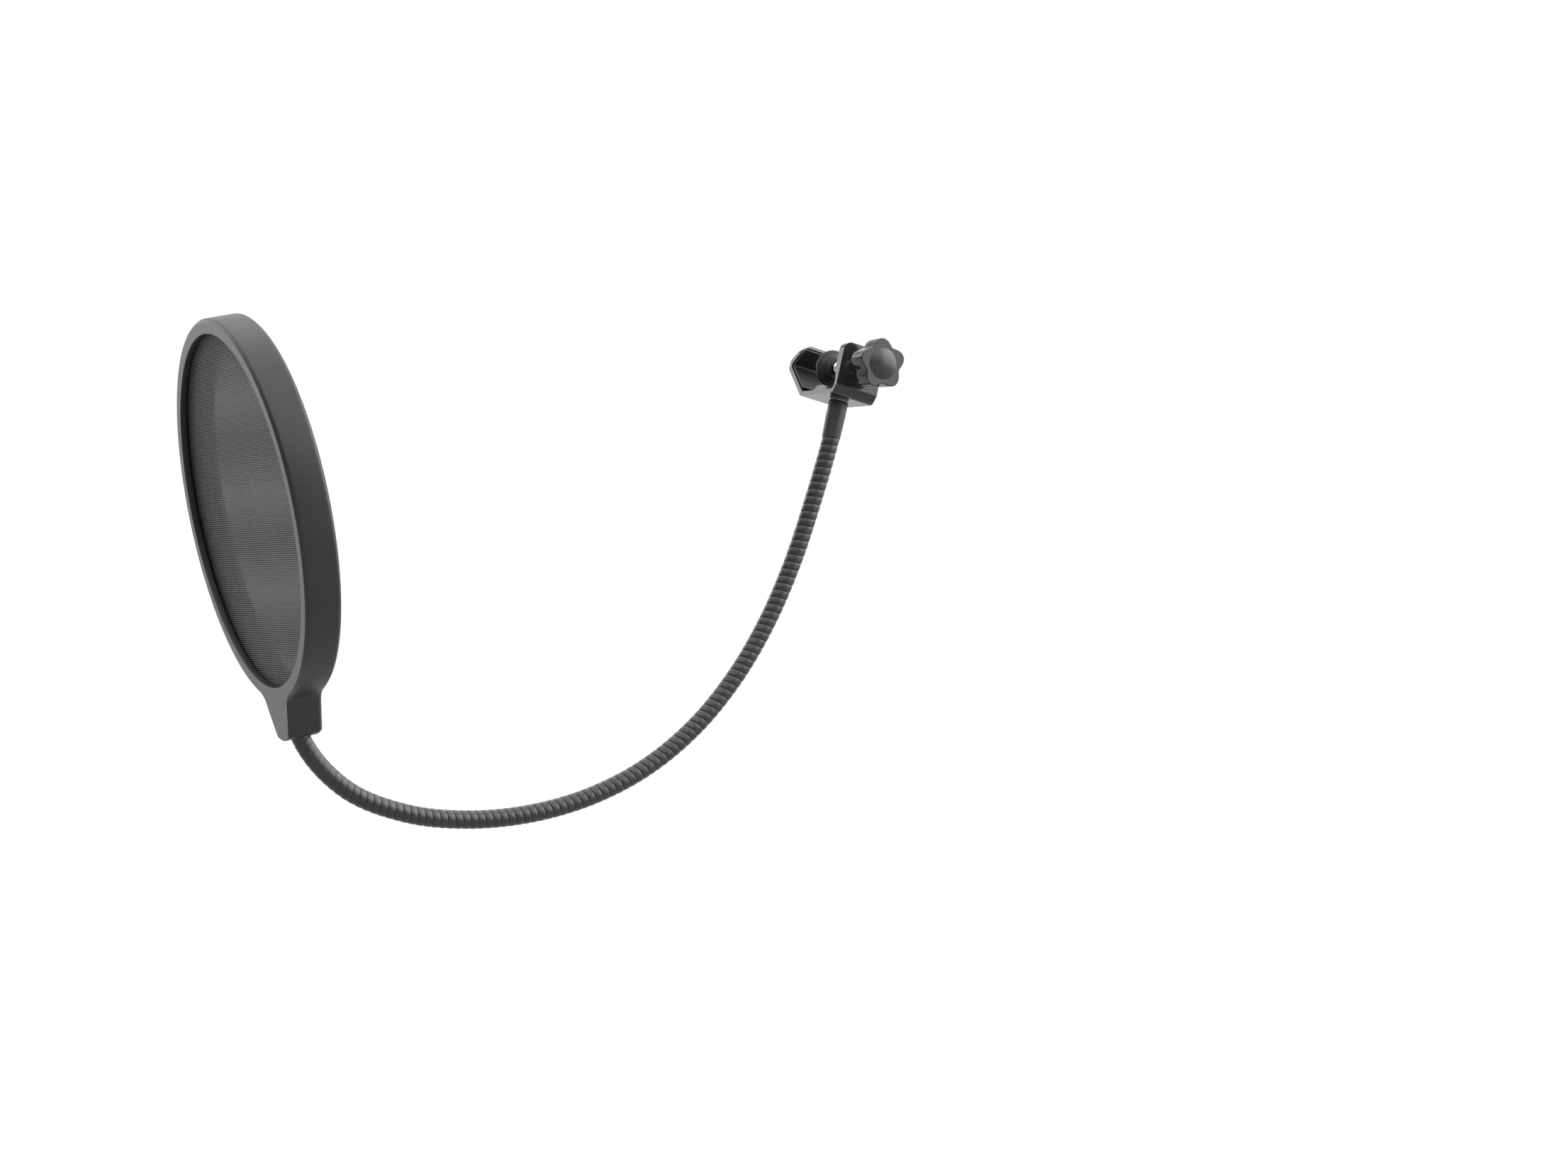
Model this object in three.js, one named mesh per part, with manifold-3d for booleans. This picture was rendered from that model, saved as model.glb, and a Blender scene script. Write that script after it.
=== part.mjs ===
// Pop filter: a two-layer nylon screen in a round frame, on a gooseneck with a screw clamp.
// Millimetres, +Z up. The origin is the middle of the bar that the clamp holds: the bar runs
// along the clamp's own X axis, and the clamp screw runs along Y.

import * as THREE from 'three';
import { mergeVertices } from 'three/addons/utils/BufferGeometryUtils.js';
import Module from 'manifold-3d';

const wasm = await Module();
wasm.setup();

// ---- driving dimensions ----

const GAP = 0.3;                       // clearance between touching pieces

const CLAMP_TILT = 14;                 // degrees that the held bar slopes down towards +X
const BRACKET_WIDTH = 20.4;            // along the bar
const WALL = 2;                        // plain wall of the bracket
const WEB_UNDERSIDE = -14.4;
const NEAR_FACE = -30.6;               // outer face of the flange that the screw goes through
const FLANGE_TOP = 8.5;
const SCREW_BOSS_THICKNESS = 3.7;      // the flange where the screw goes through
const JAW_SLOPE = 40;                  // degrees from level of each side of the V jaw
const JAW_START = -1.4;                // where the underside turns up into the V
const JAW_BACK = 13.6;                 // outer face of the V's flat bottom
const JAW_TIP = 7.5;                   // height of the V's upper lip
const LINER_THICKNESS = 0.8;
const STUD_Y = -17.5;                  // gooseneck stud, in the thick rib of the web
const RIB_HEIGHT = 2;
const CORNER_RADIUS = 3;
const JAW_CORNER_RADIUS = 5;

const SCREW_RADIUS = 3;                // M6
const SCREW_HOLE_RADIUS = SCREW_RADIUS + GAP;
const SCREW_NECK_RADIUS = 1.9;
const FOOT_FACE = -5;                  // rubber face, against a 10 mm bar
const FOOT_RADIUS = 8.1;
const FOOT_BACK = -9.5;
const KNOB_BACK = -39.6;
const KNOB_THICKNESS = 8.5;
const KNOB_LOBES = 5;
const KNOB_VALLEY_RADIUS = 8.4;
const KNOB_LOBE_HEIGHT = 2.4;
const KNOB_FIRST_LOBE = 104;           // degrees, so that one lobe stands straight up
const KNOB_BEVEL = 0.7;
const KNOB_POCKET_RADIUS = 5.4;
const KNOB_POCKET_DEPTH = 4.5;

const STUD_RADIUS = 2.5;
const STUD_END = -27;
const FERRULE_TOP = -15.8;
const FERRULE_BOTTOM = -31.2;
const FERRULE_TOP_RADIUS = 4.15;
const FERRULE_BOTTOM_RADIUS = 3.8;

const NECK_RADIUS = 3.7;
const NECK_BORE_RADIUS = 2.2;
const SPRING_RADIUS = 1.9;
const SEGMENT_LENGTH = 27.8;
const END_CLEARANCE = 0.5;             // from a bending point to the end of a segment
const END_CHAMFER = 1.4;
const NECK_SIDES = 12;
const NECK_STEPS = 6;
// Bending points of the gooseneck, from the clamp to the frame, as [x, z] in the plane of the stud.
const NECK_POINTS = [
  [-7.7, -31.0], [-16.5, -57.5], [-26.4, -83.5], [-38.8, -108.5], [-54.2, -131.5],
  [-73.2, -151.8], [-95.8, -168.0], [-121.1, -179.2], [-148.2, -185.5], [-176.0, -187.1],
  [-203.4, -183.7], [-229.1, -173.3], [-247.6, -153.2],
];

const HEAD_PITCH = 11.47;              // degrees that the frame leans back
const HEAD_YAW = -5.06;
const FRAME_RADIUS = 76;
const FRAME_THICKNESS = 14.4;
const FRAME_BEVEL = 1.25;
const SEAM = 12.15;                    // depth of the joint between the two shells
const OPENING_RADIUS = 70;
const RECESS_RADIUS = 72.6;
const LIP_THICKNESS = 2.6;
const SCREEN_RADIUS = 72.2;
const SCREEN_THICKNESS = 0.4;
const SPACER_INNER_RADIUS = 70.4;
const STEM_END = 91.3;                 // from the frame's centre to the end of its stem
const STEM_BORE_RADIUS = 4.1;
const STEM_BORE_END = 74.6;
const ROUND_STEPS = 72;

const rad = THREE.MathUtils.degToRad;

// ---- helpers ----

/** A three.js geometry as a manifold-3d solid. */
function solid(geometry) {
  const bare = geometry.clone();
  bare.deleteAttribute('normal');
  bare.deleteAttribute('uv');
  const merged = mergeVertices(bare, 1e-4);
  return new wasm.Manifold(new wasm.Mesh({
    numProp: 3,
    vertProperties: new Float32Array(merged.attributes.position.array),
    triVerts: new Uint32Array(merged.index.array),
  }));
}

/** A manifold-3d solid as a three.js geometry. */
function geometryOf(body) {
  const mesh = body.getMesh();
  const geometry = new THREE.BufferGeometry();
  geometry.setAttribute('position', new THREE.BufferAttribute(mesh.vertProperties, 3));
  geometry.setIndex(new THREE.BufferAttribute(mesh.triVerts, 1));
  geometry.computeVertexNormals();
  return geometry;
}

/** A solid turned about the Y axis from [radius, y] points that close on the axis or on themselves. */
function turned(points, sides) {
  return new THREE.LatheGeometry(points.map(([r, y]) => new THREE.Vector2(r, y)), sides);
}

/** A cylinder along Y from one end to the other. */
function rod(radius, from, to, sides = 32) {
  const geometry = new THREE.CylinderGeometry(radius, radius, to - from, sides);
  return geometry.translate(0, (from + to) / 2, 0);
}

/** Turns a solid made along Y so that its axis is Z. */
function upright(geometry) {
  return geometry.rotateX(Math.PI / 2);
}

/** An outline of [y, z] points extruded along X, centred on it. */
function extrudedAlongX(points, width) {
  const shape = new THREE.Shape(points.map(([y, z]) => new THREE.Vector2(y, z)));
  const geometry = new THREE.ExtrudeGeometry(shape, { depth: width, bevelEnabled: false });
  const yzx = new THREE.Matrix4().makeBasis(
    new THREE.Vector3(0, 1, 0), new THREE.Vector3(0, 0, 1), new THREE.Vector3(1, 0, 0));
  return geometry.applyMatrix4(yzx).translate(-width / 2, 0, 0);
}

/** A named mesh with its material. */
function piece(name, geometry, material) {
  const mesh = new THREE.Mesh(geometry, material);
  mesh.name = name;
  return mesh;
}

// ---- materials ----

const blackPaint = new THREE.MeshStandardMaterial({ color: 0x232222, roughness: 0.35, metalness: 0.1 });
const blackPlastic = new THREE.MeshStandardMaterial({ color: 0x2a2929, roughness: 0.45 });
const knobPlastic = new THREE.MeshStandardMaterial({ color: 0x2c2b2b, roughness: 0.4 });
const rubber = new THREE.MeshStandardMaterial({ color: 0x222121, roughness: 0.8 });
const sleeveRubber = new THREE.MeshStandardMaterial({ color: 0x2b2a2a, roughness: 0.6 });
const steel = new THREE.MeshStandardMaterial({ color: 0xb9b9ba, roughness: 0.3, metalness: 1 });
const nylon = new THREE.MeshStandardMaterial({ color: 0x4a4849, roughness: 0.7 });

// ---- clamp ----

const jawRun = 1 / Math.tan(rad(JAW_SLOPE));

/** The V jaw's line at a distance inside its outer surface: where it is at a height, below the middle. */
function jawLine(inset) {
  const rise = inset / Math.cos(rad(JAW_SLOPE));
  const back = JAW_BACK - inset;
  const yAt = (z) => JAW_START + (z - WEB_UNDERSIDE - rise) * jawRun;
  const flatEnd = WEB_UNDERSIDE + rise + (back - JAW_START) / jawRun;
  return { back, yAt, flatEnd };
}

function clampBracket() {
  const outer = jawLine(0);
  const inner = jawLine(WALL);
  const webTop = WEB_UNDERSIDE + WALL - 0.1;
  const flangeInside = NEAR_FACE + 1.9;
  const bossInside = NEAR_FACE + SCREW_BOSS_THICKNESS;
  const lipNormal = [WALL * Math.sin(rad(JAW_SLOPE)), WALL * Math.cos(rad(JAW_SLOPE))];
  const lip = [inner.yAt(-JAW_TIP), JAW_TIP];
  const profile = [
    [NEAR_FACE, -10.7], [-28.4, WEB_UNDERSIDE], [JAW_START, WEB_UNDERSIDE],
    [outer.back, outer.flatEnd], [outer.back, -outer.flatEnd],
    [lip[0] + lipNormal[0], lip[1] + lipNormal[1]], lip,
    [inner.back, -inner.flatEnd], [inner.back, inner.flatEnd],
    [inner.yAt(webTop), webTop],
    [STUD_Y + 5.4, webTop], [STUD_Y + 2.6, webTop + RIB_HEIGHT],
    [STUD_Y - 2.6, webTop + RIB_HEIGHT], [STUD_Y - 5.4, webTop],
    [flangeInside + 1.5, webTop], [flangeInside, webTop + 1.5], [flangeInside, -7.5],
    [bossInside, -4], [bossInside, FLANGE_TOP], [NEAR_FACE, FLANGE_TOP],
  ];
  const bar = solid(extrudedAlongX(profile, BRACKET_WIDTH));
  const nearEnd = roundedEnd(FLANGE_TOP, CORNER_RADIUS, NEAR_FACE - 1, -10);
  const farEnd = roundedEnd(lip[1] + lipNormal[1], JAW_CORNER_RADIUS, -10, JAW_BACK + 1);
  const screwHole = solid(rod(SCREW_HOLE_RADIUS, NEAR_FACE - 1, bossInside + 1));
  const studHole = solid(upright(rod(STUD_RADIUS + GAP, -20, -8)).translate(0, STUD_Y, 0));
  return geometryOf(bar.intersect(nearEnd.add(farEnd)).subtract(screwHole).subtract(studHole));
}

/** A block as wide as the bracket with rounded top corners, from one Y to another. */
function roundedEnd(top, radius, from, to) {
  const half = BRACKET_WIDTH / 2 + 0.01;
  const shape = new THREE.Shape();
  shape.moveTo(-half, WEB_UNDERSIDE - 1);
  shape.lineTo(half, WEB_UNDERSIDE - 1);
  shape.lineTo(half, top - radius);
  shape.absarc(half - radius, top - radius, radius, 0, Math.PI / 2, false);
  shape.lineTo(-half + radius, top);
  shape.absarc(-half + radius, top - radius, radius, Math.PI / 2, Math.PI, false);
  const geometry = new THREE.ExtrudeGeometry(shape, { depth: to - from, bevelEnabled: false, curveSegments: 6 });
  return solid(upright(geometry).translate(0, to, 0));
}

function jawLiner() {
  const back = jawLine(WALL + GAP);
  const face = jawLine(WALL + GAP + LINER_THICKNESS);
  const low = -10.5;
  const high = 6.4;
  const tuck = LINER_THICKNESS * Math.sin(rad(JAW_SLOPE));
  const drop = LINER_THICKNESS * Math.cos(rad(JAW_SLOPE));
  return extrudedAlongX([
    [face.yAt(low) + tuck, low - drop], [back.back, back.flatEnd], [back.back, -back.flatEnd],
    [face.yAt(-high) + tuck, high + drop], [face.yAt(-high), high],
    [face.back, -face.flatEnd], [face.back, face.flatEnd], [face.yAt(low), low],
  ], BRACKET_WIDTH - 1);
}

function baseStud() {
  return upright(rod(STUD_RADIUS, STUD_END, WEB_UNDERSIDE + WALL + RIB_HEIGHT + 0.6, 20)).translate(0, STUD_Y, 0);
}

function baseWasher() {
  const top = WEB_UNDERSIDE - GAP;
  const bottom = FERRULE_TOP + GAP;
  const ring = turned([[2.9, bottom], [4.4, bottom], [4.4, top], [2.9, top], [2.9, bottom]], 28);
  return upright(ring).translate(0, STUD_Y, 0);
}

function baseFerrule() {
  const boreEnd = STUD_END - 0.6;
  const bore = STUD_RADIUS + GAP;
  const profile = [
    [0, FERRULE_BOTTOM], [FERRULE_BOTTOM_RADIUS - 0.4, FERRULE_BOTTOM],
    [FERRULE_BOTTOM_RADIUS, FERRULE_BOTTOM + 0.4], [FERRULE_TOP_RADIUS, -22],
    [FERRULE_TOP_RADIUS, FERRULE_TOP - 0.6], [FERRULE_TOP_RADIUS - 0.6, FERRULE_TOP],
    [bore, FERRULE_TOP], [bore, boreEnd], [0, boreEnd],
  ];
  return upright(turned(profile, 28)).translate(0, STUD_Y, 0);
}

// ---- pressure foot, screw and knob ----

function footPad() {
  return rod(FOOT_RADIUS - 0.3, FOOT_FACE - 0.5, FOOT_FACE, 40);
}

function pressureFoot() {
  const face = FOOT_FACE - 0.5 - GAP;
  const socket = SCREW_NECK_RADIUS + GAP;
  return turned([
    [0, face - 1.2], [socket, face - 1.2], [socket, FOOT_BACK], [4.6, FOOT_BACK], [5, FOOT_BACK + 0.4],
    [5, -7.9], [6.3, -7.3], [7.7, -7], [FOOT_RADIUS, -6.6], [FOOT_RADIUS, face], [0, face],
  ], 40);
}

function clampScrew() {
  const tip = FOOT_FACE - 0.5 - GAP - 1.2 - GAP;
  const shoulder = -11;
  const headFrom = KNOB_BACK - KNOB_THICKNESS + KNOB_POCKET_DEPTH - GAP;
  const shank = turned([
    [0, headFrom - 0.2], [SCREW_RADIUS, headFrom - 0.2], [SCREW_RADIUS, shoulder - 0.6],
    [SCREW_RADIUS - 0.6, shoulder], [SCREW_NECK_RADIUS, shoulder], [SCREW_NECK_RADIUS, tip - 0.5],
    [SCREW_NECK_RADIUS - 0.5, tip], [0, tip],
  ], 24);
  const head = rod(4.6, headFrom - 2.5, headFrom, 6);
  return geometryOf(solid(shank).add(solid(head)));
}

function clampKnob() {
  const points = [];
  const steps = KNOB_LOBES * 14;
  for (let i = 0; i < steps; i++) {
    const angle = (i / steps) * 2 * Math.PI;
    const lobe = (1 + Math.cos(KNOB_LOBES * (angle - rad(KNOB_FIRST_LOBE)))) / 2;
    const radius = KNOB_VALLEY_RADIUS + KNOB_LOBE_HEIGHT * lobe ** 0.8;
    points.push(new THREE.Vector2(radius * Math.cos(angle), radius * Math.sin(angle)));
  }
  const star = new THREE.ExtrudeGeometry(new THREE.Shape(points), {
    depth: KNOB_THICKNESS - 2 * KNOB_BEVEL, bevelThickness: KNOB_BEVEL, bevelSize: KNOB_BEVEL,
    bevelOffset: -KNOB_BEVEL, bevelSegments: 2,
  });
  const face = KNOB_BACK - KNOB_THICKNESS;
  const pocket = solid(rod(KNOB_POCKET_RADIUS, face - 1, face + KNOB_POCKET_DEPTH));
  const hole = solid(rod(SCREW_HOLE_RADIUS, face, KNOB_BACK + 1));
  const body = solid(upright(star).translate(0, KNOB_BACK - KNOB_BEVEL, 0));
  return geometryOf(body.subtract(pocket).subtract(hole));
}

function knobCap() {
  const base = KNOB_BACK - KNOB_THICKNESS - GAP;
  const rim = 6.3;
  const height = 1.7;
  const spigot = KNOB_POCKET_RADIUS - GAP;
  const points = [[0, base - height]];
  for (let i = 1; i <= 6; i++) {
    const angle = (i / 6) * (Math.PI / 2);
    points.push([rim * Math.sin(angle), base - height * Math.cos(angle)]);
  }
  points.push([spigot, base], [spigot, base + 1], [0, base + 1]);
  return turned(points, 36);
}

// ---- gooseneck ----

const headUp = new THREE.Vector3(-Math.sin(rad(HEAD_PITCH)), 0, Math.cos(rad(HEAD_PITCH)));
const clampUp = new THREE.Vector3(Math.sin(rad(CLAMP_TILT)), 0, Math.cos(rad(CLAMP_TILT)));
const bendingPoints = NECK_POINTS.map(([x, z]) => new THREE.Vector3(x, STUD_Y, z));
const neckEnd = bendingPoints[bendingPoints.length - 1];
// One guide point before the first bending point and one after the last set the end directions.
const route = new THREE.CatmullRomCurve3([
  bendingPoints[0].clone().addScaledVector(clampUp, SEGMENT_LENGTH),
  ...bendingPoints,
  neckEnd.clone().addScaledVector(headUp, SEGMENT_LENGTH),
], false, 'catmullrom', 0.5);

/** Bends a straight piece made along Y so that it follows one stretch of the gooseneck. */
function bentAlongNeck(geometry, stretch) {
  const spans = bendingPoints.length + 1;
  const side = new THREE.Vector3(0, 1, 0);
  const position = geometry.attributes.position;
  for (let i = 0; i < position.count; i++) {
    const at = (stretch + 1 + position.getY(i) / SEGMENT_LENGTH) / spans;
    const along = route.getTangent(at);
    const across = new THREE.Vector3().crossVectors(along, side);
    const point = route.getPoint(at).addScaledVector(across, position.getX(i));
    point.addScaledVector(side, position.getZ(i));
    position.setXYZ(i, point.x, point.y, point.z);
  }
  geometry.computeVertexNormals();
  return geometry;
}

/** Evenly spaced heights from one value to another. */
function heights(from, to, steps) {
  return Array.from({ length: steps + 1 }, (_, i) => from + ((to - from) * i) / steps);
}

function neckSleeve(stretch) {
  const start = END_CLEARANCE;
  const end = SEGMENT_LENGTH - END_CLEARANCE;
  const outside = heights(start + END_CHAMFER, end - END_CHAMFER, NECK_STEPS).map((y) => [NECK_RADIUS, y]);
  const inside = heights(end, start, NECK_STEPS).map((y) => [NECK_BORE_RADIUS, y]);
  const lip = NECK_BORE_RADIUS + 0.2;
  const profile = [[lip, start], ...outside, [lip, end], ...inside, [lip, start]];
  return bentAlongNeck(turned(profile, NECK_SIDES), stretch);
}

function neckSpring(stretch) {
  const start = END_CLEARANCE;
  const end = SEGMENT_LENGTH - END_CLEARANCE;
  const outside = heights(start, end, NECK_STEPS).map((y) => [SPRING_RADIUS, y]);
  return bentAlongNeck(turned([[0, start], ...outside, [0, end]], 8), stretch);
}

// ---- frame and screens: made in the frame's own axes, X through it and Z up ----

/** Outline of the round frame and its stem, in its own plane. */
function frameOutline() {
  const shoulder = [22, -72.75];
  const bend = [15.7, -74.6];
  const neck = [13.4, -78.9];
  const tip = [7.4, -89.9];
  const start = Math.atan2(shoulder[1], -shoulder[0]) + 2 * Math.PI;
  const end = Math.atan2(shoulder[1], shoulder[0]);
  const arc = new THREE.EllipseCurve(0, 0, FRAME_RADIUS, FRAME_RADIUS, start, end, true);
  const v = (x, y) => new THREE.Vector2(x, y);
  const fillet = new THREE.QuadraticBezierCurve(v(...shoulder), v(...bend), v(...neck));
  const bottom = new THREE.QuadraticBezierCurve(v(...tip), v(0, 2 * -STEM_END - tip[1]), v(-tip[0], tip[1]));
  const right = [...fillet.getPoints(5), ...bottom.getPoints(6)];
  const left = fillet.getPoints(5).map((p) => v(-p.x, p.y)).reverse();
  return new THREE.Shape([...left, ...arc.getPoints(ROUND_STEPS).slice(1, -1), ...right.slice(0, -1), v(-tip[0], tip[1])]);
}

/** Turns a solid extruded along Z into the frame's axes: its depth along X, its plane across. */
function intoFrame(geometry) {
  const basis = new THREE.Matrix4().makeBasis(
    new THREE.Vector3(0, 1, 0), new THREE.Vector3(0, 0, 1), new THREE.Vector3(1, 0, 0));
  return geometry.applyMatrix4(basis).translate(-FRAME_THICKNESS / 2, 0, 0);
}

/** A disc or a hole through the frame's plane, between two depths. */
function disc(radius, from, to, sides = ROUND_STEPS) {
  const geometry = rod(radius, from, to, sides).rotateZ(-Math.PI / 2);
  return geometry.translate(-FRAME_THICKNESS / 2, 0, 0);
}

/** A flat ring between two depths. */
function ring(inner, outer, from, to) {
  const points = [[inner, from], [outer, from], [outer, to], [inner, to], [inner, from]];
  return turned(points, ROUND_STEPS).rotateZ(-Math.PI / 2).translate(-FRAME_THICKNESS / 2, 0, 0);
}

function frameBody() {
  const geometry = new THREE.ExtrudeGeometry(frameOutline(), {
    depth: FRAME_THICKNESS - 2 * FRAME_BEVEL, bevelThickness: FRAME_BEVEL, bevelSize: FRAME_BEVEL,
    bevelOffset: -FRAME_BEVEL, bevelSegments: 2,
  });
  return solid(intoFrame(geometry.translate(0, 0, FRAME_BEVEL)));
}

function frontShell() {
  const slab = solid(disc(2 * FRAME_RADIUS, -1, SEAM - GAP / 2, 8));
  const opening = solid(disc(OPENING_RADIUS, -1, LIP_THICKNESS + 1));
  const recess = solid(disc(RECESS_RADIUS, LIP_THICKNESS, SEAM + 1));
  const bore = solid(upright(rod(STEM_BORE_RADIUS, STEM_BORE_END, STEM_END + 2, 24)).rotateX(Math.PI));
  return geometryOf(frameBody().intersect(slab).subtract(opening).subtract(recess).subtract(bore));
}

function rearShell() {
  const slab = solid(disc(2 * FRAME_RADIUS, SEAM + GAP / 2, FRAME_THICKNESS + 1, 8));
  const opening = solid(disc(OPENING_RADIUS, SEAM - 1, FRAME_THICKNESS + 1));
  return geometryOf(frameBody().intersect(slab).subtract(opening));
}

function headFerrule() {
  const from = STEM_BORE_END + 0.8;
  const to = STEM_END - 0.5;
  return upright(rod(NECK_RADIUS, from, to, 20)).rotateX(Math.PI);
}

// ---- assembly ----

const popFilter = new THREE.Group();

const clamp = new THREE.Group();
clamp.rotation.y = rad(CLAMP_TILT);
clamp.add(
  piece('clamp_bracket', clampBracket(), blackPaint),
  piece('jaw_liner', jawLiner(), rubber),
  piece('base_stud', baseStud(), steel),
  piece('base_washer', baseWasher(), steel),
  piece('base_ferrule', baseFerrule(), blackPaint),
  piece('foot_pad', footPad(), rubber),
  piece('pressure_foot', pressureFoot(), blackPlastic),
  piece('clamp_screw', clampScrew(), steel),
  piece('clamp_knob', clampKnob(), knobPlastic),
  piece('knob_cap', knobCap(), knobPlastic),
);
popFilter.add(clamp);

for (let stretch = 0; stretch < bendingPoints.length - 1; stretch++) {
  const number = String(stretch + 1).padStart(2, '0');
  popFilter.add(piece(`gooseneck_sleeve_${number}`, neckSleeve(stretch), sleeveRubber));
  popFilter.add(piece(`gooseneck_spring_${number}`, neckSpring(stretch), steel));
}

const head = new THREE.Group();
head.rotation.set(0, -rad(HEAD_PITCH), rad(HEAD_YAW), 'ZYX');
const upInFrame = new THREE.Vector3(0, 0, 1).applyEuler(head.rotation);
head.position.copy(neckEnd).addScaledVector(upInFrame, STEM_END + 0.7);
const rearScreenFace = SEAM - GAP / 2 - GAP - SCREEN_THICKNESS;
const frontScreenBack = LIP_THICKNESS + GAP + SCREEN_THICKNESS;
head.add(
  piece('ring_front_shell', frontShell(), blackPlastic),
  piece('ring_rear_shell', rearShell(), blackPlastic),
  piece('front_screen', disc(SCREEN_RADIUS, LIP_THICKNESS + GAP, frontScreenBack), nylon),
  piece('screen_spacer', ring(SPACER_INNER_RADIUS, SCREEN_RADIUS, frontScreenBack + GAP, rearScreenFace - GAP),
    blackPlastic),
  piece('rear_screen', disc(SCREEN_RADIUS, rearScreenFace, rearScreenFace + SCREEN_THICKNESS), nylon),
  piece('head_ferrule', headFerrule(), steel),
);
popFilter.add(head);

export default popFilter;
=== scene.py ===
"""Looks of a pop filter: a round nylon screen on a gooseneck with a screw clamp.

Every piece is made in millimetres in the axes of its own group (clamp, gooseneck or frame) and
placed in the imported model's frame, in metres.
"""
import math

import bmesh
import bpy
import numpy as np
from mathutils import Matrix, Vector

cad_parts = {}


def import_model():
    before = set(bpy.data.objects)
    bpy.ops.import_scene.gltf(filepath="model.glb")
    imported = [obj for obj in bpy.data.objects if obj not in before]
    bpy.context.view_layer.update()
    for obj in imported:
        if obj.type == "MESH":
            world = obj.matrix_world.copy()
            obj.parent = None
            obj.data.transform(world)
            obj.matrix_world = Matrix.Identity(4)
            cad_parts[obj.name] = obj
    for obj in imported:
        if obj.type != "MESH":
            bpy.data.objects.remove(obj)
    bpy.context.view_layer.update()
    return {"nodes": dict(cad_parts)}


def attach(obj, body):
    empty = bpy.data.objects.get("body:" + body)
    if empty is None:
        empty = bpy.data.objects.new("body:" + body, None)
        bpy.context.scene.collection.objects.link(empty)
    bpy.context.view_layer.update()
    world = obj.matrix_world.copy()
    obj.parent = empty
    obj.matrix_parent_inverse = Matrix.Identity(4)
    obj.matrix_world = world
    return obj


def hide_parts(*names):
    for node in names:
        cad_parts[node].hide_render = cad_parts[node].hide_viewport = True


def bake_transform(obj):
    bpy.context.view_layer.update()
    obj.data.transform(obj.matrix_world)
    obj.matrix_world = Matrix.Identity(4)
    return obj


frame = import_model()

# ---- driving dimensions, in millimetres and degrees ----

MM = 0.001
# the clearance between pieces that move or are fitted together
GAP = 0.3

# the clamp's bracket, in the clamp's axes: X along the bar, Y along the screw, Z up
CLAMP_TILT = 14
BRACKET_WIDTH = 20.4
JAW_WALL = 2
WEB_WALL = 1.9
WEB_UNDERSIDE = -14.4
NEAR_FACE = -30.6
BEND_TOP = -10.7
BEND_Y = -28.4
FLANGE_TOP = 8.5
FLANGE_CORNER = 4
# the flange grows thicker between two heights, for the screw's hole
SCREW_BOSS_THICKNESS = 3.7
SCREW_BOSS_START = -7.5
SCREW_BOSS_FULL = -4
# the web's rib around the stud: half its width at its foot and at its crest, and its height
WEB_RIB_FOOT = 5.4
WEB_RIB_CREST = 2.6
WEB_RIB_HEIGHT = 2
BRACKET_MIDDLE = -10
JAW_SLOPE = 40
JAW_START = -1.4
JAW_BACK = 13.6
JAW_TIP = 7.5
JAW_CORNER = 5
SCREW_HOLE_RADIUS = 3.3
SHEET_EDGE = 0.35
LINER_THICKNESS = 0.8
LINER_EDGE = 0.15
LINER_LOW = -10.5
LINER_HIGH = 6.4

# the stud and what is on it, as distances below the clamp's axis
STUD_Y = -17.5
STUD_TOP = 9.9
STUD_END = 26.5
STUD_RADIUS = 2.5
STUD_PITCH = 0.8
STUD_HOLE_RADIUS = 2.8
WASHER_TOP = 14.5
WASHER_BOTTOM = 14.85
WASHER_BORE = 2.9
WASHER_RADIUS = 3.9
FERRULE_TOP = 14.9
FERRULE_TAPER_START = 22
FERRULE_BOTTOM = 31.2
FERRULE_TOP_RADIUS = 4.15
FERRULE_BOTTOM_RADIUS = 3.8
FERRULE_STUD_BORE = 2.8
FERRULE_SLEEVE_BORE = 3.1
FERRULE_STEP = 27.6

# the screw, its foot and its knob, in the clamp's axes
SCREW_RADIUS = 3
SCREW_END = -43.9
SCREW_SHOULDER = -11
NECK_SHANK_RADIUS = 1.9
THREAD_PITCH = 1
THREAD_DEPTH = 0.5
# the thread's profile: shares of the pitch, and heights as shares of the thread's depth
THREAD_ROWS = [(0, 0), (0.15, 0), (0.5, 1), (0.62, 1)]
FOOT_FACE = -5
FOOT_RADIUS = 8.1
FOOT_BACK = -9.5
# the foot's outside from its collar's end to its widest part, as (radius, y)
FOOT_STEPS = [(4.9, FOOT_BACK), (5.1, -8), (6.3, -7.6), (6.5, -7.1), (FOOT_RADIUS, -6.9)]
FOOT_FLOOR = 1.2
PAD_THICKNESS = 0.5
KNOB_BACK = -39.6
KNOB_THICKNESS = 8.5
KNOB_LOBES = 5
KNOB_VALLEY_RADIUS = 8.4
KNOB_LOBE_HEIGHT = 2.4
KNOB_FIRST_LOBE = 104
KNOB_EDGE = 0.4
KNOB_POCKET_RADIUS = 5.4
KNOB_POCKET_DEPTH = 4.5
CAP_RADIUS = 6.6
CAP_HEIGHT = 2
CAP_PLUG_RADIUS = 5.1
CAP_PLUG_DEPTH = 1.2

# the gooseneck: its joints lie at the bending points, (x, z) in the plane of the stud
NECK_RADIUS = 3.75
RIB_BULGE = 0.2
RIB_GROOVE = 0.16
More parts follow.
